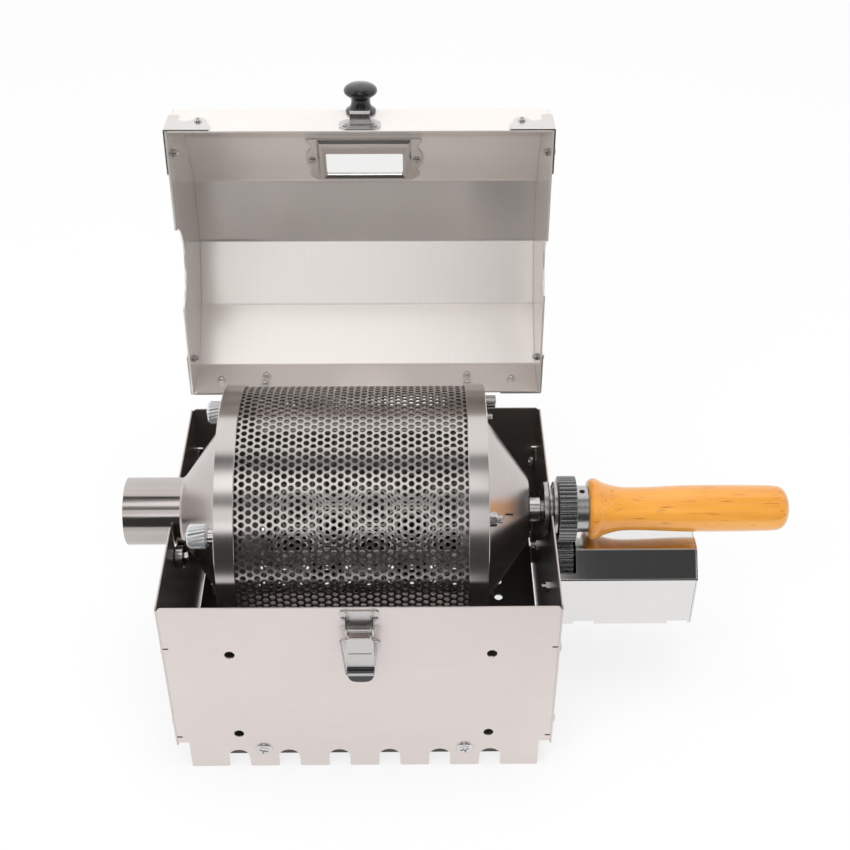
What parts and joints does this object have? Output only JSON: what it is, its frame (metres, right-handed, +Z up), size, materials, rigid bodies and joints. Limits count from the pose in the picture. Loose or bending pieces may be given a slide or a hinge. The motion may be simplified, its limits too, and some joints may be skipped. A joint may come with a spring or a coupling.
{
  "type": "home coffee bean roaster",
  "caption": "Sheet-steel box with a hinged faceted hood, a perforated roasting drum turned by a geared side motor, a filling neck and a wooden lifting handle.",
  "frame": {"origin": "middle of the front panel's lower edge, on the surface the roaster stands on", "axes": "+X to the right towards the handle, +Y to the back, +Z up"},
  "size_m": [0.4396, 0.3232, 0.3744],
  "materials": {
    "panel_steel": "satin sheet",
    "mirror_steel": "polished sheet",
    "drum_steel": "brushed",
    "mesh_steel": "punched, polished",
    "gear_steel": "oiled machined steel",
    "plain_steel": "bright zinc",
    "aluminium": "light cast",
    "wood": "orange varnish",
    "rubber": "matt",
    "black_gloss": "gloss",
    "red_plastic": "gloss",
    "glass": "clear"
  },
  "bodies": {
    "housing": {"housing_front_panel": "panel_steel", "housing_back_panel": "panel_steel", "housing_side_left": "panel_steel", "housing_side_right": "panel_steel", "housing_heat_spreader": "panel_steel", "housing_feet": "rubber", "housing_foot_brackets": "panel_steel", "housing_corner_screws": "plain_steel", "housing_truss_screws": "plain_steel", "roller_bolts": "plain_steel", "motor_cover": "mirror_steel", "motor_base": "mirror_steel", "motor_body": "plain_steel", "motor_mount_tabs": "mirror_steel", "motor_mount_screws": "plain_steel", "switch_housing": "black_gloss", "hinge_fixed_leaves": "plain_steel", "hinge_pins": "plain_steel", "latch_base": "plain_steel"},
    "lid": {"lid_shell": "panel_steel", "lid_side_left": "panel_steel", "lid_side_right": "panel_steel", "lid_corner_guards": "panel_steel", "lid_corner_screws": "plain_steel", "lid_window_glass": "glass", "lid_window_frame": "plain_steel", "lid_window_screws": "plain_steel", "lid_knob": "black_gloss", "lid_catch": "plain_steel", "hinge_lid_leaves": "plain_steel"},
    "latch_lever": {"latch_lever": "plain_steel", "latch_lever_tip": "black_gloss"},
    "latch_bail": {"latch_bail": "plain_steel"},
    "bearing": {"drum_bearing": "gear_steel"},
    "drum": {"drum_mesh_sleeve": "mesh_steel", "drum_band_left": "drum_steel", "drum_band_right": "drum_steel", "drum_end_left": "drum_steel", "drum_neck": "drum_steel", "drum_end_right": "drum_steel", "drum_vanes": "drum_steel", "drum_shaft": "gear_steel", "drum_lock_nut": "plain_steel", "drum_gear": "gear_steel", "drum_hub": "gear_steel", "drum_set_screw": "gear_steel", "drum_handle": "wood", "drum_left_studs": "plain_steel", "drum_right_bolts": "plain_steel"},
    "pinion": {"motor_pinion_gear": "gear_steel", "motor_output_shaft": "gear_steel"},
    "roller_front": {"roller_front": "plain_steel"},
    "roller_back": {"roller_back": "plain_steel"},
    "rocker": {"switch_rocker": "red_plastic"},
    "thumb_nut_1": {"drum_thumb_nut_1": "aluminium"},
    "thumb_nut_2": {"drum_thumb_nut_2": "aluminium"},
    "thumb_nut_3": {"drum_thumb_nut_3": "aluminium"}
  },
  "joints": [
    {"name": "lid_hinge", "type": "hinge", "parent": "housing", "child": "lid", "pos_m": [0, 0.2035, 0.153], "axis": [-1, 0, 0], "range_deg": [-95.3, 0]},
    {"name": "latch_lever_hinge", "type": "hinge", "parent": "housing", "child": "latch_lever", "pos_m": [0, -0.006, 0.1385], "axis": [-1, 0, 0], "range_deg": [0, 105]},
    {"name": "latch_bail_hinge", "type": "hinge", "parent": "latch_lever", "child": "latch_bail", "pos_m": [0, -0.0072, 0.1315], "axis": [-1, 0, 0], "range_deg": [0, 75]},
    {"name": "drum_lift", "type": "slide", "parent": "housing", "child": "bearing", "axis": [0, 0, 1], "range_m": [0, 0.11]},
    {"name": "drum_spin", "type": "hinge", "parent": "bearing", "child": "drum", "pos_m": [0.1244, 0.0975, 0.144], "axis": [1, 0, 0], "continuous": true},
    {"name": "pinion_spin", "type": "hinge", "parent": "housing", "child": "pinion", "pos_m": [0.1352, 0.0975, 0.10184], "axis": [1, 0, 0], "continuous": true},
    {"name": "roller_front_spin", "type": "hinge", "parent": "housing", "child": "roller_front", "pos_m": [-0.1208, 0.07351, 0.12525], "axis": [1, 0, 0], "continuous": true},
    {"name": "roller_back_spin", "type": "hinge", "parent": "housing", "child": "roller_back", "pos_m": [-0.1208, 0.1215, 0.12525], "axis": [1, 0, 0], "continuous": true},
    {"name": "switch_rock", "type": "hinge", "parent": "housing", "child": "rocker", "pos_m": [0.2231, 0.092, 0.088], "axis": [0, 1, 0], "range_deg": [-14, 0]},
    {"name": "thumb_nut_1_turn", "type": "hinge", "parent": "drum", "child": "thumb_nut_1", "pos_m": [-0.1001, 0.03658, 0.17847], "axis": [1, 0, 0], "continuous": true},
    {"name": "thumb_nut_2_turn", "type": "hinge", "parent": "drum", "child": "thumb_nut_2", "pos_m": [-0.1001, 0.15781, 0.17953], "axis": [1, 0, 0], "continuous": true},
    {"name": "thumb_nut_3_turn", "type": "hinge", "parent": "drum", "child": "thumb_nut_3", "pos_m": [-0.1001, 0.09811, 0.074], "axis": [1, 0, 0], "continuous": true}
  ],
  "couplings": [
    {"joint": "pinion_spin", "follows": "drum_spin", "ratio": -1},
    {"joint": "roller_front_spin", "follows": "drum_spin", "ratio": -2.8},
    {"joint": "roller_back_spin", "follows": "drum_spin", "ratio": -2.8}
  ]
}
